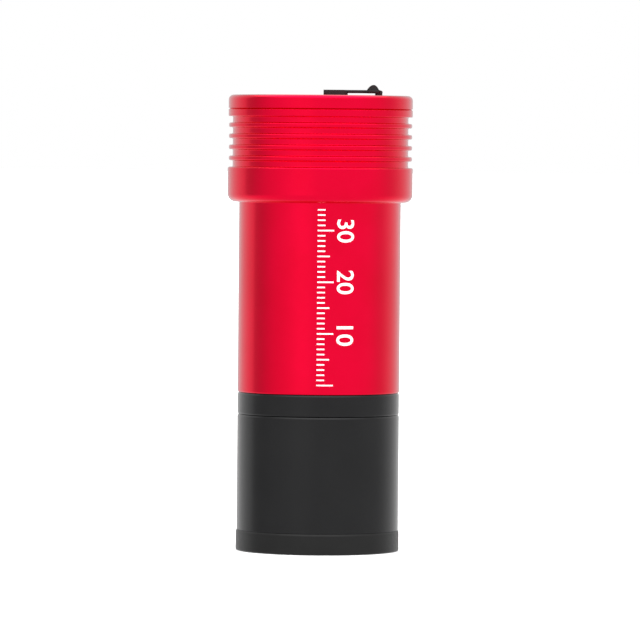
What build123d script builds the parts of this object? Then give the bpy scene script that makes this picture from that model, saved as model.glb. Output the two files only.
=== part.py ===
from build123d import *
import os
from math import cos, radians, sin

os.makedirs("parts", exist_ok=True)

# A compact camera that slides into a telescope's 1.25 inch focuser or guide-scope clamp.
# +Z runs along the optical axis from the nose to the rear cover. The origin is the centre of the
# dust cap's outer face, on which the camera stands. All sizes are in millimetres.

# ---------------------------------------------------------------- driving dimensions

barrel_diameter = 31.75
ring_diameter = 36.3
head_diameter = 36.1
bore_radius = 14.7

cap_lip_height = 4.1
nose_shoulder = 26.75
barrel_front = 31.05
ring_front = 68.3
ring_rear = 75.15
flange_front = 85.05
flange_rear = 86.65
cover_rear = 89.25

ring_edge_radius = 1.6
cover_edge_radius = 0.95
edge_break = 0.15

fin_count = 4
fin_thickness = 0.9
fin_radius = 17.95
fin_root_radius = 17.2

filter_thread_radius = 13.95
nose_thread_radius = 14.25
thread_clearance = 0.09
back_focus = 8.5

board_thickness = 1.2
screw_clearance = 0.02

# ---------------------------------------------------------------- worked out from them

barrel_radius = barrel_diameter / 2
ring_radius = ring_diameter / 2
head_radius = head_diameter / 2
sensor_plane = nose_shoulder + back_focus
groove_width = (flange_front - ring_rear - fin_count * fin_thickness) / (fin_count + 1)
fin_pitch = groove_width + fin_thickness
LOW = (Align.MIN, Align.MIN)
UP = (Align.CENTER, Align.CENTER, Align.MIN)

# ---------------------------------------------------------------- housing

# One turned piece: barrel, stop ring, cooling fins and rear flange around a straight bore.
cover_screw_circle = 15.85
cover_screw_radius = 0.62
cover_screw_depth = 3.8

with BuildPart() as housing:
    with BuildSketch(Plane.XZ) as housing_profile:
        with Locations((bore_radius, barrel_front)):
            Rectangle(barrel_radius - bore_radius, ring_front - barrel_front, align=LOW)
        with Locations((bore_radius, ring_front)):
            Rectangle(ring_radius - bore_radius, ring_rear - ring_front, align=LOW)
        with Locations((bore_radius, ring_rear)):
            Rectangle(fin_radius - bore_radius, flange_front - ring_rear, align=LOW)
        with Locations((bore_radius, flange_front)):
            Rectangle(head_radius - bore_radius, flange_rear - flange_front, align=LOW)
        for groove in range(fin_count + 1):
            with Locations((fin_root_radius, ring_rear + groove * fin_pitch)):
                Rectangle(head_radius, groove_width, align=LOW, mode=Mode.SUBTRACT)
        rim_corners = housing_profile.vertices().filter_by_position(
            Axis.X, (fin_radius + fin_root_radius) / 2, ring_radius + 1
        )
        ring_corner = rim_corners.sort_by(Axis.Y)[0]
        chamfer(rim_corners.sort_by(Axis.Y)[1:], edge_break)
        fillet(ring_corner, ring_edge_radius)
        barrel_corner = housing_profile.vertices().group_by(Axis.Y)[0].sort_by(Axis.X)[-1]
        chamfer(barrel_corner, edge_break)
    revolve(axis=Axis.Z)
    with BuildSketch(Plane.XY.offset(flange_rear)):
        with PolarLocations(cover_screw_circle, 4, start_angle=45):
            Circle(cover_screw_radius + screw_clearance)
    extrude(amount=-cover_screw_depth, mode=Mode.SUBTRACT)
housing.part.label = "housing"
export_step(housing.part, "parts/housing.step")

# ---------------------------------------------------------------- rear cover

# A turned lid with a locating spigot, cut through for the guide jack, the USB port and the stud
# of the port plug.
cover_spigot_depth = 1.7
cover_spigot_radius = bore_radius - 0.1
cover_spigot_wall = 1.2
jack_centre = -7.1
jack_width = 11.4
jack_breadth = 12.6
port_centre = 10.6
port_width = 3.16
port_breadth = 8.94
port_gap = 0.17
plug_stud_x = 2.9
plug_stud_radius = 0.9
screw_head_radius = 1.3
screw_head_height = 0.7
standoff_x = 4.5
standoff_y = 10.5
standoff_stud_radius = 1.0
standoff_stud_length = 1.8

with BuildPart() as rear_cover:
    with BuildSketch(Plane.XZ) as cover_profile:
        with Locations((0, flange_rear)):
            Rectangle(head_radius, cover_rear - flange_rear, align=LOW)
        with Locations((cover_spigot_radius - cover_spigot_wall, flange_rear - cover_spigot_depth)):
            Rectangle(cover_spigot_wall, cover_spigot_depth, align=LOW)
        rim_corners = cover_profile.vertices().group_by(Axis.X)[-1].sort_by(Axis.Y)
        chamfer(rim_corners[0], edge_break)
        fillet(rim_corners[-1], cover_edge_radius)
    revolve(axis=Axis.Z)
    with BuildSketch(Plane.XY.offset(cover_rear)):
        with Locations((jack_centre, 0)):
            Rectangle(jack_width + 0.4, jack_breadth + 0.4)
        with Locations((port_centre, 0)):
            SlotOverall(port_breadth + 2 * port_gap, port_width + 2 * port_gap, rotation=90)
        with Locations((plug_stud_x, 0)):
            Circle(plug_stud_radius + 0.05)
    extrude(amount=-(cover_rear - flange_rear + cover_spigot_depth), mode=Mode.SUBTRACT)
    with BuildSketch(Plane.XY.offset(flange_rear)):
        with Locations((standoff_x, standoff_y), (standoff_x, -standoff_y)):
            Circle(standoff_stud_radius + screw_clearance)
    extrude(amount=standoff_stud_length + 0.1, mode=Mode.SUBTRACT)
    with Locations(Plane.XY.offset(cover_rear)):
        with PolarLocations(cover_screw_circle, 4, start_angle=45):
            CounterSinkHole(
                cover_screw_radius + screw_clearance,
                screw_head_radius + screw_clearance,
                depth=cover_rear - flange_rear + 0.1,
                counter_sink_angle=90,
            )
rear_cover.part.label = "rear_cover"
export_step(rear_cover.part, "parts/rear_cover.step")

# Four countersunk screws with hexagon sockets, heads flush with the cover.
screw_socket_size = 0.9

with BuildPart() as rear_cover_screws:
    with PolarLocations(cover_screw_circle, 4, start_angle=45):
        with Locations((0, 0, cover_rear)):
            Cylinder(
                cover_screw_radius,
                cover_rear - flange_rear + cover_screw_depth - 0.3,
                align=(Align.CENTER, Align.CENTER, Align.MAX),
            )
        with Locations((0, 0, cover_rear - screw_head_radius + cover_screw_radius)):
            Cone(
                cover_screw_radius,
                screw_head_radius,
                screw_head_radius - cover_screw_radius,
                align=UP,
            )
    with BuildSketch(Plane.XY.offset(cover_rear)):
        with PolarLocations(cover_screw_circle, 4, start_angle=45):
            RegularPolygon(screw_socket_size / 2, 6, major_radius=False)
    extrude(amount=-screw_head_height, mode=Mode.SUBTRACT)
rear_cover_screws.part.label = "rear_cover_screws"
export_step(rear_cover_screws.part, "parts/rear_cover_screws.step")

# ---------------------------------------------------------------- front ring and window

# The black collar under the barrel. Its spigot screws into the barrel, its bore takes the
# nosepiece, and its web is the window cell.
front_ring_radius = 15.85
spigot_radius = bore_radius - 0.05
nose_bore_radius = nose_thread_radius + thread_clearance
web_front = nose_shoulder + 3.67
web_rear = sensor_plane - 0.13
aperture_radius = 9.0
window_radius = 10.5
window_thickness = 2.0
window_front = web_front + 1.25
window_seal_section = 0.375
window_seat = window_front + window_thickness + 2 * window_seal_section
retainer_radius = 11.95
stack_screw_circle = 12.0
stack_screw_radius = 1.0
stack_boss_radius = 1.6
sensor_board_front = sensor_plane + 1.72

with BuildPart() as front_ring:
    with BuildSketch(Plane.XZ) as ring_profile:
        with Locations((aperture_radius, nose_shoulder)):
            Rectangle(front_ring_radius - aperture_radius, barrel_front - nose_shoulder, align=LOW)
        with Locations((aperture_radius, barrel_front)):
            Rectangle(spigot_radius - aperture_radius, web_rear - barrel_front, align=LOW)
        chamfer(ring_profile.vertices().group_by(Axis.X)[-1], edge_break)
        with Locations((0, nose_shoulder)):
            Rectangle(nose_bore_radius, web_front - nose_shoulder, align=LOW, mode=Mode.SUBTRACT)
        with Locations((0, web_front)):
            Rectangle(retainer_radius + 0.05, 1.35, align=LOW, mode=Mode.SUBTRACT)
        with Locations((0, web_front)):
            Rectangle(window_radius + 0.1, window_seat - web_front, align=LOW, mode=Mode.SUBTRACT)
    revolve(axis=Axis.Z)
    with BuildSketch(Plane.XY.offset(web_rear)):
        with PolarLocations(stack_screw_circle, 3, start_angle=90):
            Circle(stack_boss_radius)
    extrude(amount=sensor_board_front - web_rear)
    with BuildSketch(Plane.XY.offset(sensor_board_front)):
        with PolarLocations(stack_screw_circle, 3, start_angle=90):
            Circle(stack_screw_radius + screw_clearance)
    extrude(amount=-3.85, mode=Mode.SUBTRACT)
front_ring.part.label = "front_ring"
export_step(front_ring.part, "parts/front_ring.step")

with BuildPart() as protective_window:
    with BuildSketch(Plane.XY.offset(window_front)):
        Circle(window_radius)
    extrude(amount=window_thickness)
    chamfer(protective_window.edges().filter_by(GeomType.CIRCLE), edge_break)
protective_window.part.label = "protective_window"
export_step(protective_window.part, "parts/protective_window.step")

with BuildPart() as window_o_ring:
    with BuildSketch(Plane.XZ):
        with Locations((window_radius - 0.55, window_seat - window_seal_section)):
            Circle(window_seal_section)
    revolve(axis=Axis.Z)
window_o_ring.part.label = "window_o_ring"
export_step(window_o_ring.part, "parts/window_o_ring.step")

# The retaining ring has two spanner slots across its front face.
with BuildPart() as window_retaining_ring:
    with BuildSketch(Plane.XY.offset(window_front)):
        Circle(retainer_radius)
        Circle(9.3, mode=Mode.SUBTRACT)
    extrude(amount=-1.1)
    with BuildSketch(Plane.XY.offset(window_front - 1.1)):
        Rectangle(2 * retainer_radius + 1, 1.2)
    extrude(amount=0.6, mode=Mode.SUBTRACT)
window_retaining_ring.part.label = "window_retaining_ring"
export_step(window_retaining_ring.part, "parts/window_retaining_ring.step")

# ---------------------------------------------------------------- sensor stack

with BuildPart() as dust_gasket:
    with BuildSketch(Plane.XY.offset(web_rear)):
        Circle(10.1)
        Circle(9.3, mode=Mode.SUBTRACT)
    extrude(amount=sensor_board_front - web_rear)
dust_gasket.part.label = "dust_gasket"
export_step(dust_gasket.part, "parts/dust_gasket.step")

package_front = sensor_plane - 0.08
package_recess = 0.5

with BuildPart() as sensor_package:
    with BuildSketch(Plane.XY.offset(package_front)):
        Rectangle(14, 11)
    extrude(amount=sensor_board_front - package_front)
    with BuildSketch(Plane.XY.offset(package_front)):
        Rectangle(11.4, 8.4)
    extrude(amount=package_recess, mode=Mode.SUBTRACT)
sensor_package.part.label = "sensor_package"
export_step(sensor_package.part, "parts/sensor_package.step")

with BuildPart() as sensor_die:
    with BuildSketch(Plane.XY.offset(sensor_plane)):
        Rectangle(10, 6.6)
    extrude(amount=package_front + package_recess - sensor_plane)
sensor_die.part.label = "sensor_die"
export_step(sensor_die.part, "parts/sensor_die.step")

with BuildPart() as sensor_cover_glass:
    with BuildSketch(Plane.XY.offset(package_front)):
        Rectangle(12.6, 9.6)
    extrude(amount=-0.5)
sensor_cover_glass.part.label = "sensor_cover_glass"
export_step(sensor_cover_glass.part, "parts/sensor_cover_glass.step")

sensor_board_rear = sensor_board_front + 1.0

with BuildPart() as sensor_board:
    with BuildSketch(Plane.XY.offset(sensor_board_front)):
        Circle(13.9)
        with PolarLocations(stack_screw_circle, 3, start_angle=90):
            Circle(stack_screw_radius + 0.1, mode=Mode.SUBTRACT)
    extrude(amount=sensor_board_rear - sensor_board_front)
sensor_board.part.label = "sensor_board"
export_step(sensor_board.part, "parts/sensor_board.step")

pad_thickness = 1.5
spreader_front = sensor_board_rear + pad_thickness
spreader_rear = spreader_front + 2.0

with BuildPart() as thermal_pad:
    with BuildSketch(Plane.XY.offset(sensor_board_rear)):
        Rectangle(12, 10)
    extrude(amount=pad_thickness)
thermal_pad.part.label = "thermal_pad"
export_step(thermal_pad.part, "parts/thermal_pad.step")

# The ribbon leaves the sensor board sideways, turns rearwards through a notch in the heat spreader
# and comes back to the main board's connector.
ribbon_width = 10.0
ribbon_thickness = 0.2
ribbon_side = -12.8
ribbon_slot_height = sensor_board_rear + 0.55
ribbon_return_height = spreader_rear + 1.5
main_board_front = spreader_rear + 1.85
main_board_face = 0.8
ribbon_end_y = main_board_face - 0.55
ribbon_end_height = main_board_front + 2.4

with BuildPart() as ribbon_cable:
    with BuildLine(Plane.YZ) as ribbon_route:
        FilletPolyline(
            (-9.4, ribbon_slot_height),
            (ribbon_side, ribbon_slot_height),
            (ribbon_side, ribbon_return_height),
            (ribbon_end_y, ribbon_return_height),
            (ribbon_end_y, ribbon_end_height),
            radius=0.9,
        )
    with BuildSketch(Plane.XZ.offset(9.4)):
        with Locations((0, ribbon_slot_height)):
            Rectangle(ribbon_width, ribbon_thickness)
    sweep(path=ribbon_route.line)
ribbon_cable.part.label = "ribbon_cable"
export_step(ribbon_cable.part, "parts/ribbon_cable.step")

with BuildPart() as sensor_connector:
    with BuildSketch(Plane.XY.offset(sensor_board_rear)):
        with Locations((0, -9.6)):
            Rectangle(12, 3)
    extrude(amount=1.0)
    with BuildSketch(Plane.XZ.offset(9.3)):
        with Locations((0, ribbon_slot_height)):
            Rectangle(ribbon_width + 0.2, ribbon_thickness + 0.1)
    extrude(amount=3, mode=Mode.SUBTRACT)
sensor_connector.part.label = "sensor_connector"
export_step(sensor_connector.part, "parts/sensor_connector.step")

# An aluminium disc that carries heat from the sensor to the barrel wall. Three feet stand on the
# sensor board and an upright tab holds the main board.
bracket_front_y = main_board_face + board_thickness
bracket_thickness = 2.0
bracket_height = 8.0
board_screw_x = 9.5
board_screw_height = spreader_rear + 5.0

with BuildPart() as heat_spreader:
    with BuildSketch(Plane.XY.offset(spreader_front)):
        Circle(bore_radius - 0.1)
        with Locations((0, ribbon_side - 1.8)):
            Rectangle(ribbon_width + 1.2, 5.0, mode=Mode.SUBTRACT)
    extrude(amount=spreader_rear - spreader_front)
    with BuildSketch(Plane.XY.offset(sensor_board_rear)):
        with PolarLocations(stack_screw_circle, 3, start_angle=90):
            Circle(stack_boss_radius)
    extrude(amount=pad_thickness)
    with BuildSketch(Plane.XY.offset(spreader_rear)):
        with Locations((0, bracket_front_y)):
            Rectangle(23, bracket_thickness, align=(Align.CENTER, Align.MIN))
    extrude(amount=bracket_height)
    with BuildSketch(Plane.XY.offset(spreader_rear)):
        with PolarLocations(stack_screw_circle, 3, start_angle=90):
            Circle(stack_screw_radius + 0.1)
    extrude(amount=-(spreader_rear - sensor_board_rear), mode=Mode.SUBTRACT)
    with BuildSketch(Plane.XZ.offset(-bracket_front_y)):
        with Locations((board_screw_x, board_screw_height), (-board_screw_x, board_screw_height)):
            Circle(stack_screw_radius + screw_clearance)
    extrude(amount=-bracket_thickness, mode=Mode.SUBTRACT)
heat_spreader.part.label = "heat_spreader"
export_step(heat_spreader.part, "parts/heat_spreader.step")

# Three pan-head screws clamp the spreader and the sensor board to the front ring.
pan_head_radius = 1.9
pan_head_height = 1.3
stack_screw_length = 8.0

with BuildPart() as sensor_screws:
    with PolarLocations(stack_screw_circle, 3, start_angle=90):
        with Locations((0, 0, spreader_rear)):
            Cylinder(pan_head_radius, pan_head_height, align=UP)
            Cylinder(
                stack_screw_radius,
                stack_screw_length,
                align=(Align.CENTER, Align.CENTER, Align.MAX),
            )
    fillet(sensor_screws.edges().filter_by(GeomType.CIRCLE).group_by(Axis.Z)[-1], 0.5)
    with BuildSketch(Plane.XY.offset(spreader_rear + pan_head_height)):
        with PolarLocations(stack_screw_circle, 3, start_angle=90):
            Rectangle(1.9, 0.45)
            Rectangle(0.45, 1.9)
    extrude(amount=-0.8, mode=Mode.SUBTRACT)
sensor_screws.part.label = "sensor_screws"
export_step(sensor_screws.part, "parts/sensor_screws.step")

# ---------------------------------------------------------------- main board

port_board_rear = cover_rear - 13.45
port_board_front = port_board_rear - 1.6
main_board_rear = port_board_front - 1.4
main_board_width = 26.0

with BuildPart() as main_board:
    with BuildSketch(Plane.XZ.offset(-main_board_face)):
        with Locations((0, main_board_front)):
            Rectangle(
                main_board_width,
                main_board_rear - main_board_front,
                align=(Align.CENTER, Align.MIN),
            )
        with Locations((board_screw_x, board_screw_height), (-board_screw_x, board_screw_height)):
            Circle(stack_screw_radius + 0.1, mode=Mode.SUBTRACT)
    extrude(amount=-board_thickness)
main_board.part.label = "main_board"
export_step(main_board.part, "parts/main_board.step")

with BuildPart() as main_board_screws:
    with BuildSketch(Plane.XZ.offset(-main_board_face)):
        with Locations((board_screw_x, board_screw_height), (-board_screw_x, board_screw_height)):
            Circle(pan_head_radius)
    extrude(amount=pan_head_height)
    with BuildSketch(Plane.XZ.offset(-main_board_face)):
        with Locations((board_screw_x, board_screw_height), (-board_screw_x, board_screw_height)):
            Circle(stack_screw_radius)
    extrude(amount=-(board_thickness + bracket_thickness))
    fillet(main_board_screws.edges().filter_by(GeomType.CIRCLE).group_by(Axis.Y)[0], 0.5)
main_board_screws.part.label = "main_board_screws"
export_step(main_board_screws.part, "parts/main_board_screws.step")

connector_front = main_board_front + 0.6

with BuildPart() as main_board_connector:
    with BuildSketch(Plane.XY.offset(connector_front)):
        with Locations((0, main_board_face)):
            Rectangle(12, 1.2, align=(Align.CENTER, Align.MAX))
    extrude(amount=3.0)
    with BuildSketch(Plane.XY.offset(connector_front)):
        with Locations((0, ribbon_end_y)):
            Rectangle(ribbon_width + 0.2, ribbon_thickness + 0.1)
    extrude(amount=2.0, mode=Mode.SUBTRACT)
main_board_connector.part.label = "main_board_connector"
export_step(main_board_connector.part, "parts/main_board_connector.step")

processor_height = main_board_front + 16.5

with BuildPart() as processor_chip:
    with BuildSketch(Plane.XZ.offset(-main_board_face)):
        with Locations((0, processor_height)):
            Rectangle(12, 12)
    extrude(amount=1.3)
    chamfer(processor_chip.faces().sort_by(Axis.Y)[0].edges(), 0.2)
processor_chip.part.label = "processor_chip"
export_step(processor_chip.part, "parts/processor_chip.step")

with BuildPart() as memory_chip:
    with BuildSketch(Plane.XZ.offset(-main_board_face)):
        with Locations((0, processor_height - 9.8)):
            Rectangle(13, 5.5)
    extrude(amount=1.0)
    chamfer(memory_chip.faces().sort_by(Axis.Y)[0].edges(), 0.15)
memory_chip.part.label = "memory_chip"
export_step(memory_chip.part, "parts/memory_chip.step")

board_back_y = main_board_face + board_thickness

with BuildPart() as power_inductors:
    with BuildSketch(Plane.XZ.offset(-board_back_y)):
        with Locations((0, processor_height + 2)):
            with GridLocations(7, 1, 3, 1):
                RectangleRounded(4, 4, 0.6)
    extrude(amount=-2)
power_inductors.part.label = "power_inductors"
export_step(power_inductors.part, "parts/power_inductors.step")

with BuildPart() as board_capacitors:
    with BuildSketch(Plane.XZ.offset(-board_back_y)):
        with Locations((0, processor_height - 4)):
            with GridLocations(3, 3, 7, 2):
                Rectangle(1.0, 1.6)
    extrude(amount=-0.8)
board_capacitors.part.label = "board_capacitors"
export_step(board_capacitors.part, "parts/board_capacitors.step")

# A right-angle connector joins the main board to the port board.
with BuildPart() as board_link_connector:
    with BuildSketch(Plane.XY.offset(port_board_front)):
        with Locations((0, main_board_face)):
            Rectangle(18, 4, align=(Align.CENTER, Align.MAX))
    extrude(amount=-5)
board_link_connector.part.label = "board_link_connector"
export_step(board_link_connector.part, "parts/board_link_connector.step")

# ---------------------------------------------------------------- port board

with BuildPart() as port_board:
    with BuildSketch(Plane.XY.offset(port_board_front)):
        Circle(bore_radius - 0.4)
        with Locations((standoff_x, standoff_y), (standoff_x, -standoff_y)):
            Circle(standoff_stud_radius + 0.1, mode=Mode.SUBTRACT)
    extrude(amount=port_board_rear - port_board_front)
port_board.part.label = "port_board"
export_step(port_board.part, "parts/port_board.step")

# Two hexagon standoffs hang the port board from the rear cover.
standoff_thread_depth = 4.0

with BuildPart() as port_board_standoffs:
    with BuildSketch(Plane.XY.offset(port_board_rear)):
        with Locations((standoff_x, standoff_y), (standoff_x, -standoff_y)):
            RegularPolygon(1.75, 6, major_radius=False)
    extrude(amount=flange_rear - port_board_rear)
    with BuildSketch(Plane.XY.offset(flange_rear)):
        with Locations((standoff_x, standoff_y), (standoff_x, -standoff_y)):
            Circle(standoff_stud_radius)
    extrude(amount=standoff_stud_length)
    with BuildSketch(Plane.XY.offset(port_board_rear)):
        with Locations((standoff_x, standoff_y), (standoff_x, -standoff_y)):
            Circle(standoff_stud_radius + screw_clearance)
    extrude(amount=standoff_thread_depth, mode=Mode.SUBTRACT)
port_board_standoffs.part.label = "port_board_standoffs"
export_step(port_board_standoffs.part, "parts/port_board_standoffs.step")

with BuildPart() as port_board_screws:
    with BuildSketch(Plane.XY.offset(port_board_front)):
        with Locations((standoff_x, standoff_y), (standoff_x, -standoff_y)):
            Circle(pan_head_radius)
    extrude(amount=-pan_head_height)
    with BuildSketch(Plane.XY.offset(port_board_front)):
        with Locations((standoff_x, standoff_y), (standoff_x, -standoff_y)):
            Circle(standoff_stud_radius)
    extrude(amount=port_board_rear - port_board_front + standoff_thread_depth - 0.5)
    fillet(port_board_screws.edges().filter_by(GeomType.CIRCLE).group_by(Axis.Z)[0], 0.5)
port_board_screws.part.label = "port_board_screws"
export_step(port_board_screws.part, "parts/port_board_screws.step")

# ---------------------------------------------------------------- guide jack

# A six-way modular jack standing on the port board, its mouth level with the rear cover.
port_mouth = cover_rear - 0.2
socket_width = 6.8
socket_breadth = 9.8
socket_depth = 10.0
socket_x = jack_centre - 0.7
latch_width = 1.8
contact_count = 6
contact_pitch = 1.02
contact_radius = 0.2

with BuildPart() as guide_jack:
    with BuildSketch(Plane.XY.offset(port_board_rear)):
        with Locations((jack_centre, 0)):
            RectangleRounded(jack_width, jack_breadth, 0.4)
    extrude(amount=port_mouth - port_board_rear)
    with BuildSketch(Plane.XY.offset(port_mouth)):
        with Locations((socket_x, 0)):
            Rectangle(socket_width, socket_breadth)
        with Locations((socket_x + socket_width / 2, 0)):
            Rectangle(latch_width, 3.3, align=(Align.MIN, Align.CENTER))
    extrude(amount=-socket_depth, mode=Mode.SUBTRACT)
    chamfer(guide_jack.faces().sort_by(Axis.Z)[-1].inner_wires()[0].edges(), 0.25)
guide_jack.part.label = "guide_jack"
export_step(guide_jack.part, "parts/guide_jack.step")

# Six spring wires slope from the mouth's edge towards the socket's floor.
contact_start = (socket_x - socket_width / 2 + 0.35, port_mouth - 1.6)
contact_tip = (socket_x - socket_width / 2 + 1.9, port_mouth - 7.4)

with BuildPart() as guide_jack_contacts:
    for contact in range(contact_count):
        contact_y = (contact - (contact_count - 1) / 2) * contact_pitch
        wire_start = Vector(contact_start[0], contact_y, contact_start[1])
        wire_tip = Vector(contact_tip[0], contact_y, contact_tip[1])
        with BuildSketch(Plane(origin=wire_start, z_dir=wire_tip - wire_start)):
            Circle(contact_radius)
        extrude(amount=(wire_tip - wire_start).length)
guide_jack_contacts.part.label = "guide_jack_contacts"
export_step(guide_jack_contacts.part, "parts/guide_jack_contacts.step")

# ---------------------------------------------------------------- USB port

shell_wall = 0.3
tongue_recess = 1.35

with BuildPart() as usb_shell:
    with BuildSketch(Plane.XY.offset(port_board_rear)):
        with Locations((port_centre, 0)):
            SlotOverall(port_breadth, port_width, rotation=90)
    extrude(amount=port_mouth - port_board_rear)
    with BuildSketch(Plane.XY.offset(port_mouth)):
        with Locations((port_centre, 0)):
            SlotOverall(port_breadth - 2 * shell_wall, port_width - 2 * shell_wall, rotation=90)
    extrude(amount=-(port_mouth - port_board_rear), mode=Mode.SUBTRACT)
usb_shell.part.label = "usb_shell"
export_step(usb_shell.part, "parts/usb_shell.step")

with BuildPart() as usb_tongue:
    with BuildSketch(Plane.XY.offset(port_board_rear)):
        with Locations((port_centre, 0)):
            SlotOverall(port_breadth - 2 * shell_wall, port_width - 2 * shell_wall, rotation=90)
    extrude(amount=3.5)
    with BuildSketch(Plane.XY.offset(port_board_rear)):
        with Locations((port_centre, 0)):
            Rectangle(0.7, 6.69)
    extrude(amount=port_mouth - tongue_recess - port_board_rear)
usb_tongue.part.label = "usb_tongue"
export_step(usb_tongue.part, "parts/usb_tongue.step")

# ---------------------------------------------------------------- port plug

# An elastomer plug on a thin strap. The anchor block is held by a barbed stud through the cover;
# strap and head swing about the strap's root, where the strap bends. The head covers the port, with
# a pad under its far side and a shallow plug that enters the port's mouth.
hinge_x = 5.6
strap_thickness = 0.6
strap_underside = cover_rear + 0.5
strap_middle = strap_underside + strap_thickness / 2
hinge_gap = 0.05
strap_breadth = 5.2
anchor_start = 0.5
anchor_breadth = 6.0
anchor_end = hinge_x - strap_thickness / 2 - hinge_gap
anchor_top = strap_underside + strap_thickness
anchor_slope = 0.45
stud_barb_radius = 1.35

with BuildPart() as port_plug_anchor:
    with BuildSketch(Plane.XZ):
        with BuildLine():
            Polyline(
                (anchor_start, cover_rear),
                (anchor_end, cover_rear),
                (anchor_end, anchor_top - anchor_slope),
                (anchor_end - anchor_slope, anchor_top),
                (anchor_start, anchor_top),
                close=True,
            )
        make_face()
    extrude(amount=anchor_breadth / 2, both=True)
    fillet(port_plug_anchor.edges().filter_by(Axis.Z), 0.6)
    with BuildSketch(Plane.XY.offset(cover_rear)):
        with Locations((plug_stud_x, 0)):
            Circle(plug_stud_radius)
    extrude(amount=-(cover_rear - flange_rear + 0.1))
    with BuildSketch(Plane.XY.offset(flange_rear - 0.1)):
        with Locations((plug_stud_x, 0)):
            Circle(stud_barb_radius)
    extrude(amount=-1.1, taper=30)
port_plug_anchor.part.label = "port_plug_anchor"
export_step(port_plug_anchor.part, "parts/port_plug_anchor.step")

head_start = 8.95
head_end = 12.05
head_breadth = 10.0
ridge_peak_x = 10.3
ridge_end = 11.4
ridge_height = 1.18
pad_start = 10.65
pad_end = 12.0
pad_breadth = 9.7
pad_clearance = 0.05
plug_start = 10.7
plug_end = 11.5
plug_breadth = 7.6
plug_depth = 1.2

with BuildPart() as port_plug:
    with BuildSketch(Plane.XZ):
        with Locations((hinge_x, strap_middle)):
            Circle(strap_thickness / 2)
        with Locations((hinge_x, strap_underside)):
            Rectangle(head_end - hinge_x, strap_thickness, align=LOW)
    extrude(amount=strap_breadth / 2, both=True)
    with BuildSketch(Plane.XY.offset(strap_underside)):
        with Locations(((head_start + head_end) / 2, 0)):
            RectangleRounded(head_end - head_start, head_breadth, 1.0)
    extrude(amount=strap_thickness)
    with BuildSketch(Plane.XZ) as ridge_profile:
        with BuildLine():
            Polyline(
                (head_start, anchor_top),
                (ridge_end, anchor_top),
                (ridge_peak_x, anchor_top + ridge_height),
                close=True,
            )
        make_face()
        fillet(ridge_profile.vertices().sort_by(Axis.Y)[-1], 0.5)
    extrude(amount=head_breadth / 2 - 1.0, both=True)
    with BuildSketch(Plane.XY.offset(cover_rear - plug_depth)):
        with Locations(((plug_start + plug_end) / 2, 0)):
            RectangleRounded(plug_end - plug_start, plug_breadth, 0.35)
    extrude(amount=plug_depth + strap_underside - cover_rear)
    with BuildSketch(Plane.XY.offset(cover_rear + pad_clearance)):
        with Locations(((pad_start + pad_end) / 2, 0)):
            RectangleRounded(pad_end - pad_start, pad_breadth, 0.5)
    extrude(amount=strap_underside - cover_rear - pad_clearance)
port_plug.part.label = "port_plug"
export_step(port_plug.part, "parts/port_plug.step")

# ---------------------------------------------------------------- nosepiece

# The 1.25 inch nose tube: a filter thread in its mouth, a baffled bore, a shoulder with a groove
# for the nose seal, and a threaded spigot that screws into the front ring.
nose_bore = 13.5
filter_thread_length = 6.5
spigot_length = 3.4
spigot_bore = 12.9
seal_groove_radius = 15.5
seal_groove_depth = 1.0
seal_radius = 14.95
seal_section = 0.45

with BuildPart() as nosepiece:
    with BuildSketch(Plane.XZ) as nose_profile:
        with Locations((0, cap_lip_height)):
            Rectangle(barrel_radius, nose_shoulder - cap_lip_height, align=LOW)
        chamfer(nose_profile.vertices().group_by(Axis.X)[-1], edge_break)
        with Locations((0, nose_shoulder - seal_groove_depth)):
            Rectangle(seal_groove_radius, seal_groove_depth, align=LOW, mode=Mode.SUBTRACT)
        with Locations((0, nose_shoulder - seal_groove_depth)):
            Rectangle(nose_thread_radius, seal_groove_depth + spigot_length, align=LOW)
        with Locations((0, cap_lip_height)):
            Rectangle(nose_bore, nose_shoulder - cap_lip_height - 3.0, align=LOW, mode=Mode.SUBTRACT)
        with Locations((0, cap_lip_height)):
            Rectangle(filter_thread_radius, filter_thread_length, align=LOW, mode=Mode.SUBTRACT)
        with Locations((0, nose_shoulder - 3.0)):
            Rectangle(spigot_bore, spigot_length + 3.0, align=LOW, mode=Mode.SUBTRACT)
    revolve(axis=Axis.Z)
nosepiece.part.label = "nosepiece"
export_step(nosepiece.part, "parts/nosepiece.step")

# A small O-ring in the groove under the shoulder. It travels with the nosepiece and is pressed by
# the front ring when the nosepiece is home.
with BuildPart() as nose_seal:
    with BuildSketch(Plane.XZ):
        with Locations((seal_radius, nose_shoulder - 0.03 - seal_section)):
            Circle(seal_section)
    revolve(axis=Axis.Z)
nose_seal.part.label = "nose_seal"
export_step(nose_seal.part, "parts/nose_seal.step")

# ---------------------------------------------------------------- dust cap

# A moulded cap: a lip the size of the tube and a plug wall with crush ribs that grips the
# filter thread. The outer face has a shallow round panel.
cap_lip_radius = 16.0
cap_face_thickness = 2.0
cap_panel_depth = 0.6
cap_edge_radius = 0.35
plug_wall_radius = 13.65
plug_wall = 1.4
plug_wall_height = 5.7
crush_rib_radius = 0.3
crush_rib_count = 6

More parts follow.
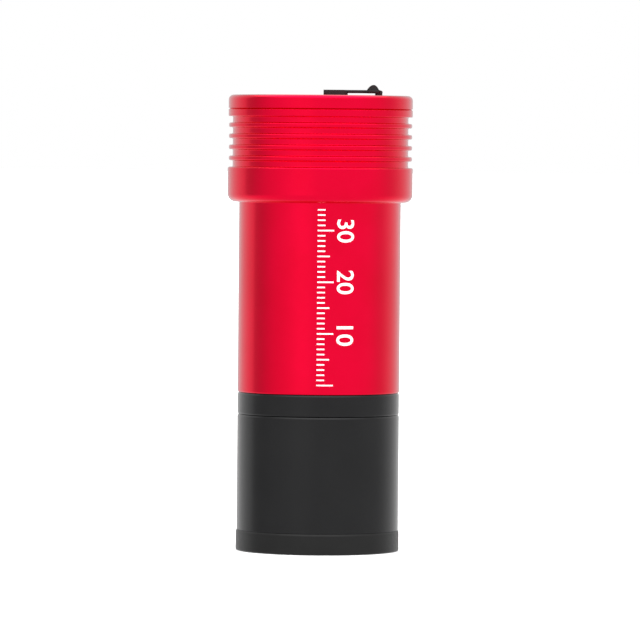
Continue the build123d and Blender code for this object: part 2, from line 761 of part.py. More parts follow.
with BuildPart() as dust_cap:
    with BuildSketch(Plane.XZ) as cap_profile:
        Rectangle(cap_lip_radius, cap_lip_height, align=LOW)
        lip_corners = cap_profile.vertices().group_by(Axis.X)[-1].sort_by(Axis.Y)
        fillet(lip_corners[0], cap_edge_radius)
        chamfer(lip_corners[-1], edge_break)
        with Locations((0, cap_lip_height)):
            Rectangle(plug_wall_radius, plug_wall_height, align=LOW)
        chamfer(cap_profile.vertices().group_by(Axis.Y)[-1].sort_by(Axis.X)[-1], 0.4)
        with Locations((0, cap_panel_depth + cap_face_thickness)):
            Rectangle(plug_wall_radius - plug_wall, cap_lip_height + plug_wall_height,
                      align=LOW, mode=Mode.SUBTRACT)
        Rectangle(12.0, cap_panel_depth, align=LOW, mode=Mode.SUBTRACT)
    revolve(axis=Axis.Z)
    with BuildSketch(Plane.XY.offset(cap_lip_height)):
        with PolarLocations(plug_wall_radius - 0.08, crush_rib_count):
            Circle(crush_rib_radius)
    extrude(amount=plug_wall_height - 1.0)
dust_cap.part.label = "dust_cap"
export_step(dust_cap.part, "parts/dust_cap.step")
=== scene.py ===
import bmesh
import bpy
from math import atan2, cos, pi, radians, sin, tan
from mathutils import Matrix, Vector


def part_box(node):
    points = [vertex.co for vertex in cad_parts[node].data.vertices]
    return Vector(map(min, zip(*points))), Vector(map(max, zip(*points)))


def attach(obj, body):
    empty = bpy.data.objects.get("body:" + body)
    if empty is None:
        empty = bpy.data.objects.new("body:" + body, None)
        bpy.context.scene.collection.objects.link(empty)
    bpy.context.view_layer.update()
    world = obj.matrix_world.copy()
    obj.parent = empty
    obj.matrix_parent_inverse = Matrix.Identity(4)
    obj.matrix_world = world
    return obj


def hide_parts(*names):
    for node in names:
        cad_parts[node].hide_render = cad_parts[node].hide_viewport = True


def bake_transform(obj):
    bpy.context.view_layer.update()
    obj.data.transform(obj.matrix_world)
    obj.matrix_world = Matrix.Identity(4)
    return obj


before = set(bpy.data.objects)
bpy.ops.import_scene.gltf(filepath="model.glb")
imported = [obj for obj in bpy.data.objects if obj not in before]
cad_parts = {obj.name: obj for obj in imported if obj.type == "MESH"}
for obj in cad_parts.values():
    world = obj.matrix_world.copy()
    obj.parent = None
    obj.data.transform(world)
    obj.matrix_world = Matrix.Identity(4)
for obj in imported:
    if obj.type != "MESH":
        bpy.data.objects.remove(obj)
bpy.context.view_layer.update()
MM = 0.001

# Heights and radii of the turned parts, in metres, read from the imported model.
cap_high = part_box("dust_cap")[1]
nose_low, nose_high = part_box("nosepiece")
collar_low, collar_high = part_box("front_ring")
housing_low, housing_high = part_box("housing")
cover_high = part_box("rear_cover")[1]
window_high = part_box("protective_window")[1]
barrel_radius = nose_high.x
ring_radius = housing_high.x
head_radius = cover_high.x
collar_radius = collar_high.x
cap_lip = nose_low.z
nose_shoulder = collar_low.z
barrel_front = housing_low.z
flange_rear = housing_high.z
cover_rear = cover_high.z
bore = 14.7 * MM

SEGMENTS = 288                  # faces round a turned part
THREAD_PITCH = 0.6 * MM
SCREW_CIRCLE = 15.85 * MM       # radius on which the cover screws stand
# A steep chamfer on the upper edge of each nose part catches the light from overhead.
SEAM_HEIGHT = 0.36 * MM
SEAM_DEPTH = 0.19 * MM
OVERLAP = 1.0 * MM              # how far a cutting tool reaches past what it cuts


# ---------------------------------------------------------------- camera, light and floor

def make_camera():
    """A long lens a little above the middle of the object, as in a product photograph."""
    distance = 1.135
    height = 0.0802
    aim = Vector((0.0002, 0.0, 0.0452))
    frame_width = 0.1256        # width of the view at the object
    sensor = 36.0
    camera = bpy.data.objects.new("camera_view", bpy.data.cameras.new("camera_view"))
    bpy.context.scene.collection.objects.link(camera)
    location = Vector((aim.x, -distance, height))
    direction = aim - location
    roll = Matrix.Rotation(radians(0.5), 4, "Z")
    camera.matrix_world = (
        Matrix.Translation(location) @ direction.to_track_quat("-Z", "Y").to_matrix().to_4x4() @ roll
    )
    camera.data.sensor_width = sensor
    camera.data.lens = sensor * direction.length / frame_width
    camera.data.clip_end = 60.0
    bpy.context.scene.camera = camera


def make_world():
    """A white tent with dark gaps round the object, a bright light overhead, and light bounced up
    from the table. The camera itself sees plain white."""
    world = bpy.data.worlds.new("studio")
    bpy.context.scene.world = world
    world.use_nodes = True
    tree = world.node_tree
    tree.nodes.clear()
    link = tree.links.new
    brightest = 1.5

    place = node(tree, "ShaderNodeTexCoord")
    split = node(tree, "ShaderNodeSeparateXYZ")
    link(place.outputs["Generated"], split.inputs[0])
    behind = node(tree, "ShaderNodeMath", operation="MULTIPLY")
    behind.inputs[1].default_value = -1.0
    link(split.outputs["Y"], behind.inputs[0])
    angle = node(tree, "ShaderNodeMath", operation="ARCTAN2")
    link(split.outputs["X"], angle.inputs[0])
    link(behind.outputs[0], angle.inputs[1])
    turn = node(tree, "ShaderNodeMapRange", in_From_Min=-pi, in_From_Max=pi)
    link(angle.outputs[0], turn.inputs["Value"])

    # degrees round from the front, positive to the right, and the brightness there
    stops = [(-180, 0.62), (-150, 0.8), (-128, 0.9), (-109, 0.92), (-104, 0.6), (-89, 0.64), (-76, 0.8),
             (-67, 0.9), (-47, 1.04), (-30, 1.18), (-17, 1.18), (-4, 1.06), (47, 1.05), (74, 1.02),
             (96, 0.86), (106, 0.88), (116, 0.92), (140, 0.88), (155, 0.8), (180, 0.62)]
    panels = node(tree, "ShaderNodeValToRGB")
    ramp = panels.color_ramp
    while len(ramp.elements) < len(stops):
        ramp.elements.new(0.5)
    for element, (degrees, level) in zip(ramp.elements, stops):
        element.position = degrees / 360 + 0.5
    for element, (degrees, level) in zip(ramp.elements, stops):
        element.color = grey(level / brightest)
    link(turn.outputs[0], panels.inputs["Fac"])

    def zone(first, last, level, beside):
        """Turns what is beside it into one plain level, from the first height in the sky to the last."""
        fade = node(tree, "ShaderNodeMapRange", interpolation_type="SMOOTHSTEP",
                    in_From_Min=first, in_From_Max=last)
        link(split.outputs["Z"], fade.inputs["Value"])
        mix = node(tree, "ShaderNodeMix", data_type="RGBA")
        mix.inputs["B"].default_value = grey(level / brightest)
        link(fade.outputs[0], mix.inputs["Factor"])
        link(beside, mix.inputs["A"])
        return mix.outputs["Result"]

    overhead = zone(first=0.62, last=0.85, level=2.8, beside=panels.outputs["Color"])
    bounced = zone(first=-0.1, last=-0.45, level=1.05, beside=overhead)

    lit = node(tree, "ShaderNodeBackground", in_Strength=brightest)
    link(bounced, lit.inputs["Color"])
    plain = node(tree, "ShaderNodeBackground", in_Color=grey(1.0), in_Strength=1.0)
    path = node(tree, "ShaderNodeLightPath")
    choose = node(tree, "ShaderNodeMixShader")
    link(path.outputs["Is Camera Ray"], choose.inputs["Fac"])
    link(lit.outputs[0], choose.inputs[1])
    link(plain.outputs[0], choose.inputs[2])
    output = node(tree, "ShaderNodeOutputWorld")
    link(choose.outputs[0], output.inputs["Surface"])


def make_floor():
    """A wide white floor, faintly luminous so that the shadow stays soft. The glossy parts mirror
    the tent instead of it."""
    mesh = bpy.data.meshes.new("floor")
    reach = 14.0
    mesh.from_pydata([(-reach, -reach, 0), (reach, -reach, 0), (reach, reach, 0), (-reach, reach, 0)],
                     [], [(0, 1, 2, 3)])
    ground = bpy.data.objects.new("floor", mesh)
    bpy.context.scene.collection.objects.link(ground)
    material, shader, _ = new_material("floor_white")
    shader.inputs["Base Color"].default_value = grey(0.97)
    shader.inputs["Roughness"].default_value = 0.9
    shader.inputs["Specular IOR Level"].default_value = 0.1
    shader.inputs["Emission Color"].default_value = grey(1.0)
    shader.inputs["Emission Strength"].default_value = 0.2
    mesh.materials.append(material)
    ground.visible_glossy = False


# ---------------------------------------------------------------- materials

def grey(level):
    return (level, level, level, 1.0)


def new_material(name):
    """A material with its principled shader and its node tree."""
    material = bpy.data.materials.new(name)
    material.use_nodes = True
    tree = material.node_tree
    return material, tree.nodes["Principled BSDF"], tree


def node(tree, kind, **settings):
    """A shader node with its plain settings; a setting named in_NAME sets the socket NAME."""
    made = tree.nodes.new(kind)
    for key, value in settings.items():
        if key.startswith("in_"):
            made.inputs[key[3:].replace("_", " ")].default_value = value
        else:
            setattr(made, key, value)
    return made


def noise(tree, scale, detail=3.0, stretch=None):
    """Noise in the object's own metres, optionally stretched along an axis."""
    place = node(tree, "ShaderNodeTexCoord")
    texture = node(tree, "ShaderNodeTexNoise", in_Scale=scale, in_Detail=detail)
    if stretch:
        mapping = node(tree, "ShaderNodeMapping", in_Scale=stretch)
        tree.links.new(place.outputs["Object"], mapping.inputs["Vector"])
        tree.links.new(mapping.outputs["Vector"], texture.inputs["Vector"])
    else:
        tree.links.new(place.outputs["Object"], texture.inputs["Vector"])
    return texture.outputs["Fac"]


def turned_marks(tree, scale):
    """Fine noise that is constant round the axis, as a lathe tool leaves it."""
    place = node(tree, "ShaderNodeTexCoord")
    split = node(tree, "ShaderNodeSeparateXYZ")
    flat = node(tree, "ShaderNodeCombineXYZ")
    length = node(tree, "ShaderNodeVectorMath", operation="LENGTH")
    join = node(tree, "ShaderNodeCombineXYZ")
    texture = node(tree, "ShaderNodeTexNoise", in_Scale=scale, in_Detail=2.0)
    tree.links.new(place.outputs["Object"], split.inputs[0])
    tree.links.new(split.outputs["X"], flat.inputs["X"])
    tree.links.new(split.outputs["Y"], flat.inputs["Y"])
    tree.links.new(flat.outputs[0], length.inputs[0])
    tree.links.new(length.outputs["Value"], join.inputs["X"])
    tree.links.new(split.outputs["Z"], join.inputs["Y"])
    tree.links.new(join.outputs[0], texture.inputs["Vector"])
    return texture.outputs["Fac"]


def vary_color(tree, shader, factor, low, high):
    """Base colour that runs from low to high with the factor."""
    ramp = node(tree, "ShaderNodeValToRGB")
    ramp.color_ramp.elements[0].position = 0.35
    ramp.color_ramp.elements[1].position = 0.65
    ramp.color_ramp.elements[0].color = (*low, 1)
    ramp.color_ramp.elements[1].color = (*high, 1)
    tree.links.new(factor, ramp.inputs["Fac"])
    tree.links.new(ramp.outputs["Color"], shader.inputs["Base Color"])


def vary_roughness(tree, shader, factor, low, high):
    """Roughness that runs from low to high with the factor."""
    spread = node(tree, "ShaderNodeMapRange", in_From_Min=0.3, in_From_Max=0.7,
                  in_To_Min=low, in_To_Max=high)
    tree.links.new(factor, spread.inputs["Value"])
    tree.links.new(spread.outputs[0], shader.inputs["Roughness"])


def bump(tree, shader, *layers):
    """Stacks bump layers, each (height socket, depth in metres)."""
    last = None
    for height, depth in layers:
        step = node(tree, "ShaderNodeBump", in_Strength=1.0, in_Distance=depth)
        tree.links.new(height, step.inputs["Height"])
        if last:
            tree.links.new(last.outputs["Normal"], step.inputs["Normal"])
        last = step
    tree.links.new(last.outputs["Normal"], shader.inputs["Normal"])


def anodised(name, low, high, metallic, roughness, coat):
    """Dyed anodising: tinted metal under a thin clear oxide film, with faint lathe marks."""
    material, shader, tree = new_material(name)
    shader.inputs["Metallic"].default_value = metallic
    shader.inputs["Specular IOR Level"].default_value = 0.25
    shader.inputs["Coat Weight"].default_value = coat
    shader.inputs["Coat Roughness"].default_value = 0.12
    shader.inputs["Coat IOR"].default_value = 1.13
    vary_color(tree, shader, noise(tree, 90.0), low, high)
    vary_roughness(tree, shader, noise(tree, 700.0, 4.0), roughness - 0.03, roughness + 0.03)
    bump(tree, shader, (noise(tree, 9000.0, 2.0), 0.0000012), (turned_marks(tree, 6000.0), 0.0000012))
    return material


def moulded(name, low, high, roughness, grain=5000.0, depth=0.000006, coat=0.0, gloss=0.5):
    """Moulded plastic or elastomer with a fine eroded texture."""
    material, shader, tree = new_material(name)
    shader.inputs["Specular IOR Level"].default_value = gloss
    shader.inputs["Coat Weight"].default_value = coat
    vary_color(tree, shader, noise(tree, 160.0), low, high)
    vary_roughness(tree, shader, noise(tree, 1500.0), roughness - 0.05, roughness + 0.05)
    bump(tree, shader, (noise(tree, grain, 3.0), depth))
    return material


def bare_metal(name, low, high, roughness, marks=5000.0):
    """Uncoated metal with fine drawn-out tool marks."""
    material, shader, tree = new_material(name)
    shader.inputs["Metallic"].default_value = 1.0
    vary_color(tree, shader, noise(tree, 400.0), low, high)
    vary_roughness(tree, shader, noise(tree, 2500.0), roughness - 0.05, roughness + 0.08)
    bump(tree, shader, (noise(tree, marks, 2.0, (1.0, 1.0, 0.05)), 0.000002))
    return material


def coated_glass():
    """Clear glass with the faint green cast of an anti-reflection coating."""
    material, shader, tree = new_material("coated_glass")
    shader.inputs["Transmission Weight"].default_value = 1.0
    shader.inputs["IOR"].default_value = 1.5
    shader.inputs["Coat Weight"].default_value = 0.3
    vary_color(tree, shader, noise(tree, 40.0), (0.82, 0.95, 0.9), (0.88, 0.97, 0.95))
    vary_roughness(tree, shader, noise(tree, 300.0), 0.01, 0.03)
    return material


def circuit_board():
    """Green solder mask with a faint pattern of copper tracks under it."""
    material, shader, tree = new_material("circuit_board")
    place = node(tree, "ShaderNodeTexCoord")
    tracks = node(tree, "ShaderNodeTexBrick", in_Scale=900.0)
    tracks.inputs["Mortar Size"].default_value = 0.03
    tracks.inputs["Color1"].default_value = grey(0.0)
    tracks.inputs["Color2"].default_value = grey(0.0)
    tracks.inputs["Mortar"].default_value = grey(1.0)
    tree.links.new(place.outputs["Object"], tracks.inputs["Vector"])
    vary_color(tree, shader, tracks.outputs["Color"], (0.008, 0.07, 0.03), (0.03, 0.16, 0.07))
    vary_roughness(tree, shader, noise(tree, 800.0), 0.28, 0.4)
    bump(tree, shader, (tracks.outputs["Color"], 0.00002), (noise(tree, 3000.0), 0.000004))
    return material


def make_materials():
    """One material for each slot of the record, and the ink of the printed scale."""
    return {
        "red_anodised": anodised("red_anodised", (0.79, 0.0, 0.028), (0.84, 0.0, 0.034),
                                 metallic=1.0, roughness=0.2, coat=0.9),
        "black_anodised": anodised("black_anodised", (0.0015, 0.0015, 0.002), (0.003, 0.003, 0.0035),
                                   metallic=0.0, roughness=0.22, coat=1.0),
        "black_plastic": moulded("black_plastic", (0.003, 0.003, 0.003), (0.005, 0.005, 0.005), 0.33,
                                 gloss=0.3),
        "black_rubber": moulded("black_rubber", (0.006, 0.006, 0.006), (0.01, 0.01, 0.01), 0.55,
                                6500.0, 0.00001),
        "coated_glass": coated_glass(),
        "black_screw": bare_metal("black_screw", (0.03, 0.03, 0.033), (0.06, 0.06, 0.063), 0.38),
        "steel_screw": bare_metal("steel_screw", (0.55, 0.55, 0.56), (0.68, 0.68, 0.68), 0.3),
        "circuit_board": circuit_board(),
        "connector_plastic": moulded("connector_plastic", (0.6, 0.55, 0.44), (0.7, 0.64, 0.52), 0.45),
        "ribbon_film": moulded("ribbon_film", (0.5, 0.24, 0.04), (0.62, 0.32, 0.06), 0.3, 900.0),
        "thermal_pad": moulded("thermal_pad", (0.25, 0.36, 0.52), (0.32, 0.43, 0.6), 0.8),
        "bare_aluminium": bare_metal("bare_aluminium", (0.74, 0.74, 0.75), (0.83, 0.83, 0.84), 0.34),
        "ceramic_package": moulded("ceramic_package", (0.2, 0.18, 0.17), (0.28, 0.26, 0.25), 0.7),
        "silicon": moulded("silicon", (0.02, 0.05, 0.05), (0.05, 0.09, 0.1), 0.14, 2000.0, 0.000001,
                           coat=1.0),
        "chip_epoxy": moulded("chip_epoxy", (0.015, 0.015, 0.016), (0.03, 0.03, 0.03), 0.55),
        "ferrite": moulded("ferrite", (0.06, 0.06, 0.065), (0.11, 0.11, 0.11), 0.7, 2500.0, 0.00002),
        "capacitor_ceramic": moulded("capacitor_ceramic", (0.42, 0.28, 0.16), (0.55, 0.4, 0.25), 0.5),
        "standoff_brass": bare_metal("standoff_brass", (0.7, 0.5, 0.2), (0.82, 0.62, 0.28), 0.25),
        "port_plastic": moulded("port_plastic", (0.012, 0.012, 0.013), (0.02, 0.02, 0.021), 0.36,
                                4000.0, 0.000003),
        "gold_contact": bare_metal("gold_contact", (0.9, 0.62, 0.22), (1.0, 0.76, 0.34), 0.18),
        "port_steel": bare_metal("port_steel", (0.62, 0.62, 0.64), (0.75, 0.75, 0.77), 0.24),
        "printed_ink": moulded("printed_ink", (0.86, 0.84, 0.84), (0.95, 0.93, 0.93), 0.5,
                               3000.0, 0.000002),
    }


# ---------------------------------------------------------------- mesh helpers

def new_piece(name, vertices, faces, material, body):
    """A mesh object that rides on a body, where one is given."""
    mesh = bpy.data.meshes.new(name)
    mesh.from_pydata(vertices, [], faces)
    piece = bpy.data.objects.new(name, mesh)
    bpy.context.scene.collection.objects.link(piece)
    mesh.materials.append(material)
    shade(piece)
    if body:
        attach(piece, body)
    return piece


def shade(piece, smooth_angle=32.0):
    """Outward faces, smooth across gentle angles and sharp across corners."""
    work = bmesh.new()
    work.from_mesh(piece.data)
    bmesh.ops.remove_doubles(work, verts=work.verts, dist=1e-8)
    bmesh.ops.recalc_face_normals(work, faces=work.faces)
    work.to_mesh(piece.data)
    work.free()
    piece.data.shade_smooth()
    piece.data.set_sharp_from_angle(angle=radians(smooth_angle))


def evaluated_mesh(thing):
    """A new mesh of the object as it stands, with its modifiers."""
    return bpy.data.meshes.new_from_object(thing.evaluated_get(bpy.context.evaluated_depsgraph_get()))


def apply_modifiers(piece):
    final = evaluated_mesh(piece)
    piece.modifiers.clear()
    piece.data = final


def cut(piece, tools, operation="DIFFERENCE"):
    """Cuts or joins the tools into the piece one after another, and deletes them."""
    for tool in tools:
        step = piece.modifiers.new("cut", "BOOLEAN")
        step.operation = operation
        step.solver = "EXACT"
        step.object = tool
        apply_modifiers(piece)
        bpy.data.objects.remove(tool)


def round_edges(piece, width, segments=3, angle=35.0):
    """Rounds the hard edges, and keeps the flats between them flat."""
    bevel = piece.modifiers.new("edges", "BEVEL")
    bevel.width = width
    bevel.segments = segments
    bevel.limit_method = "ANGLE"
    bevel.angle_limit = radians(angle)
    bevel.harden_normals = True
    apply_modifiers(piece)
    shade(piece, 60.0)
    weights = piece.modifiers.new("flats", "WEIGHTED_NORMAL")
    weights.keep_sharp = True
    apply_modifiers(piece)


def rounded(corners, steps=5, support=0.25):
    """A closed outline from (x, y, rounding) corners, with extra points beside each rounding,
    so that the flats between them shade flat."""
    outline = []
    count = len(corners)
    for i, (x, y, rounding) in enumerate(corners):
        here = Vector((x, y))
        to_last = (Vector(corners[i - 1][:2]) - here).normalized()
        to_next = (Vector(corners[(i + 1) % count][:2]) - here).normalized()
        if not rounding:
            outline.append(here)
            continue
        opening = to_last.angle(to_next)
        reach = rounding / tan(opening / 2)
        start = here + to_last * reach
        end = here + to_next * reach
        centre = here + (to_last + to_next).normalized() * (rounding / sin(opening / 2))
        first = atan2(start.y - centre.y, start.x - centre.x)
        sweep = atan2(end.y - centre.y, end.x - centre.x) - first
        sweep -= 2 * pi * round(sweep / (2 * pi))
        if support:
            outline.append(start + to_last * rounding * support)
        for k in range(steps + 1):
            turn = first + sweep * k / steps
            outline.append(centre + Vector((cos(turn), sin(turn))) * rounding)
        if support:
            outline.append(end + to_next * rounding * support)
    return outline


def divided(outline, radius, spacing):
    """The outline with more rows up its straight walls at one radius, for a thread to bend."""
    result = []
    for here, following in zip(outline, outline[1:] + outline[:1]):
        result.append(here)
        if abs(here.x - radius) < 1e-7 and abs(following.x - radius) < 1e-7:
            count = int((following - here).length / spacing)
            result += [here.lerp(following, k / count) for k in range(1, count)]
    return result


def lathe(name, outline, material, body, warp=None, segments=SEGMENTS, centre=(0.0, 0.0)):
    """Turns a closed outline of (radius, height) points round a vertical axis. warp(radius, height,
    angle) may return another radius, for threads and ribs."""
    vertices = []
    rows = []
    for r, z in outline:
        if r < 1e-7:
            rows.append([len(vertices)])
            vertices.append((centre[0], centre[1], z))
            continue
        rows.append(range(len(vertices), len(vertices) + segments))
        for k in range(segments):
            angle = 2 * pi * k / segments
            radius = warp(r, z, angle) if warp else r
            vertices.append((centre[0] + radius * cos(angle), centre[1] + radius * sin(angle), z))
    faces = []
    for row, following in zip(rows, rows[1:] + rows[:1]):
        for k in range(segments):
            loop = [row[k % len(row)], row[(k + 1) % len(row)],
                    following[(k + 1) % len(following)], following[k % len(following)]]
            loop = list(dict.fromkeys(loop))
            if len(loop) > 2:
                faces.append(loop)
    return new_piece(name, vertices, faces, material, body)


def thread(radius, low, high, depth):
    """A warp that cuts a helical thread into the wall at one radius. A positive depth cuts outward."""
    def warp(r, z, angle):
        if abs(r - radius) > 1e-7 or not low < z < high:
            return r
        turn = (z / THREAD_PITCH - angle / (2 * pi)) % 1.0
        fade = min(1.0, (z - low) / THREAD_PITCH, (high - z) / THREAD_PITCH)
        return r + depth * fade * (1 - abs(2 * turn - 1))
    return warp


def first_of(*warps):
    """A warp that takes the first of several that changes the radius."""
    def warp(r, z, angle):
        for single in warps:
            changed = single(r, z, angle)
            if changed != r:
                return changed
        return r
    return warp


def prism(name, outline, low, high, material, axis="Z"):
    """A closed outline extruded from low to high along Z, or along Y with the outline in X and Z."""
    def place(point, depth):
        return (point[0], point[1], depth) if axis == "Z" else (point[0], depth, point[1])
    count = len(outline)
    vertices = [place(p, low) for p in outline] + [place(p, high) for p in outline]
    faces = [list(range(count)), list(range(count, 2 * count))]
    faces += [[k, (k + 1) % count, count + (k + 1) % count, count + k] for k in range(count)]
    return new_piece(name, vertices, faces, material, None)


def box_outline(low_x, high_x, half_y, rounding):
    """A rectangle with rounded corners, centred on the X axis."""
    return rounded([(low_x, -half_y, rounding), (high_x, -half_y, rounding),
                    (high_x, half_y, rounding), (low_x, half_y, rounding)], steps=8, support=0)


# ---------------------------------------------------------------- turned parts

def make_housing(material):
    """Barrel, stop ring, cooling fins and rear flange."""
    ring_front = 68.3 * MM
    ring_rear = 75.15 * MM
    ring_rounding = 1.6 * MM
    flange_front = 85.05 * MM
    root = 17.2 * MM
    fin_radius = 17.95 * MM
    fins = 4
    fin_thickness = 0.9 * MM
    groove = (flange_front - ring_rear - fins * fin_thickness) / (fins + 1)
    root_rounding = 0.25 * MM
    fin_rounding = 0.3 * MM
    seam_chamfer = 0.32 * MM        # leaves a dark line under the rear cover
    corners = [
        (bore, barrel_front, 0.1 * MM),
        (barrel_radius, barrel_front, 0.32 * MM),
        (barrel_radius, ring_front, 0.12 * MM),
        (ring_radius, ring_front, ring_rounding),
        (ring_radius, ring_rear, 0.36 * MM),
    ]
    for k in range(fins):
        low = ring_rear + k * (groove + fin_thickness)
        corners += [
            (root, low, root_rounding),
            (root, low + groove, root_rounding),
            (fin_radius, low + groove, fin_rounding),
            (fin_radius, low + groove + fin_thickness, fin_rounding),
        ]
    corners += [
        (root, flange_front - groove, root_rounding),
        (root, flange_front, root_rounding),
        (head_radius, flange_front, 0.2 * MM),
        (head_radius, flange_rear - seam_chamfer, 0.05 * MM),
        (head_radius - seam_chamfer, flange_rear, 0.03 * MM),
        (bore, flange_rear, 0.1 * MM),
    ]
    piece = lathe("housing_shell", rounded(corners), material, "camera")
    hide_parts("housing")


def make_collar(material):
    """The black front ring: inside it the nosepiece's thread, behind it the window cell and three
    bosses."""
    thread_radius = 14.34 * MM
    spigot_radius = 14.65 * MM
    web_front = nose_shoulder + 3.67 * MM
    web_rear = nose_shoulder + 8.37 * MM
    opening_radius = 9.0 * MM
    seat = window_high.z + 0.75 * MM
    seat_radius = 10.6 * MM
    retainer_radius = 12.0 * MM
    retainer_rear = web_front + 1.35 * MM
    outline = rounded([
        (opening_radius, seat, 0.1 * MM),
        (opening_radius, web_rear, 0.1 * MM),
        (spigot_radius, web_rear, 0.1 * MM),
        (spigot_radius, barrel_front, 0),
        (collar_radius - SEAM_DEPTH, barrel_front, 0.15 * MM),
        (collar_radius, barrel_front - SEAM_HEIGHT, 0.06 * MM),
        (collar_radius, nose_shoulder, 0.36 * MM),
        (thread_radius, nose_shoulder, 0.15 * MM),
        (thread_radius, web_front, 0),
        (retainer_radius, web_front, 0.08 * MM),
        (retainer_radius, retainer_rear, 0.05 * MM),
        (seat_radius, retainer_rear, 0.05 * MM),
        (seat_radius, seat, 0.05 * MM),
    ])
    outline = divided(outline, thread_radius, THREAD_PITCH / 8)
    cut_thread = thread(thread_radius, nose_shoulder + 0.2 * MM, web_front - 0.2 * MM, 0.25 * MM)
    piece = lathe("front_collar", outline, material, "camera", cut_thread)
    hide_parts("front_ring")
    boss_hole = 1.02 * MM
    boss_radius = 1.6 * MM
    boss_circle = 12.0 * MM
    boss_front = web_rear - 0.1 * MM
    boss_rear = web_rear + 1.85 * MM
    boss = rounded([(boss_hole, boss_front, 0), (boss_radius, boss_front, 0),
                    (boss_radius, boss_rear, 0.08 * MM), (boss_hole, boss_rear, 0)])
    for k in range(3):
        angle = radians(90 + 120 * k)
        centre = (boss_circle * cos(angle), boss_circle * sin(angle))
        lathe(f"collar_boss_{k + 1}", boss, material, "camera",
              segments=48, centre=centre)


def make_nosepiece(material):
    """The 1.25 inch tube: filter thread, ridged baffle bore, seal groove and threaded spigot."""
    filter_radius = 13.95 * MM
    filter_end = cap_lip + 6.5 * MM
    baffle_radius = 13.5 * MM
    baffle_end = nose_shoulder - 3.0 * MM
    throat_radius = 12.9 * MM
    spigot_radius = 14.25 * MM
    seal_radius = 15.5 * MM
    seal_floor = nose_shoulder - 1.0 * MM
    outline = rounded([
        (filter_radius, cap_lip, 0.2 * MM),
        (barrel_radius, cap_lip, 0.1 * MM),
        (barrel_radius, nose_shoulder - SEAM_HEIGHT, 0.06 * MM),
        (barrel_radius - SEAM_DEPTH, nose_shoulder, 0.15 * MM),
        (seal_radius, nose_shoulder, 0.05 * MM),
        (seal_radius, seal_floor, 0.05 * MM),
        (spigot_radius, seal_floor, 0.05 * MM),
        (spigot_radius, nose_high.z, 0.3 * MM),
        (throat_radius, nose_high.z, 0.15 * MM),
        (throat_radius, baffle_end, 0.1 * MM),
        (baffle_radius, baffle_end, 0.05 * MM),
        (baffle_radius, filter_end, 0.05 * MM),
        (filter_radius, filter_end, 0.05 * MM),
    ])
    for radius in (filter_radius, spigot_radius, baffle_radius):
        outline = divided(outline, radius, THREAD_PITCH / 8)
    cuts = first_of(
        thread(filter_radius, cap_lip + 0.2 * MM, filter_end - 0.1 * MM, 0.28 * MM),
        thread(spigot_radius, nose_shoulder + 0.1 * MM, nose_high.z - 0.3 * MM, -0.25 * MM),
        thread(baffle_radius, filter_end + 0.1 * MM, baffle_end - 0.1 * MM, 0.2 * MM),
    )
    piece = lathe("nose_tube", outline, material, "nosepiece", cuts)
    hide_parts("nosepiece")


def make_dust_cap(material):
    """A moulded cap: lip, plug wall with six crush ribs, shallow panel in its outer face."""
    wall_radius = 13.65 * MM
    wall_inside = 12.25 * MM
    floor_height = 2.6 * MM
    rib_top = cap_high.z - 1.0 * MM
    ribs = 6
    rib_height = 0.22 * MM
    rib_half_angle = 0.024
    rib_lead = 0.6 * MM             # over which a rib's top runs out
    panel_radius = 12.0 * MM
    panel_depth = 0.6 * MM
    faces_round = 720

    def rib_wall(r, z, angle):
        if abs(r - wall_radius) > 1e-7 or not cap_lip < z < rib_top:
            return r
        spacing = 2 * pi / ribs
        off = abs((angle + spacing / 2) % spacing - spacing / 2) / rib_half_angle
        taper = min(1.0, (rib_top - z) / rib_lead)
        return r + rib_height * taper * max(0.0, 1 - off * off)

    outline = rounded([
        (0, panel_depth, 0),
        (panel_radius, panel_depth, 0.2 * MM),
        (panel_radius, 0, 0.25 * MM),
        (cap_high.x, 0, 0.35 * MM),
        (cap_high.x, cap_lip - SEAM_HEIGHT, 0.06 * MM),
        (cap_high.x - SEAM_DEPTH, cap_lip, 0.1 * MM),
        (wall_radius, cap_lip, 0.1 * MM),
        (wall_radius, cap_high.z, 0.4 * MM),
        (wall_inside, cap_high.z, 0.2 * MM),
        (wall_inside, floor_height, 0.3 * MM),
        (0, floor_height, 0),
    ], steps=8)
    outline = divided(outline, wall_radius, 0.3 * MM)
    piece = lathe("cap_moulding", outline, material, "dust_cap", rib_wall,
                  segments=faces_round)
    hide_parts("dust_cap")


# ---------------------------------------------------------------- rear cover and port plug

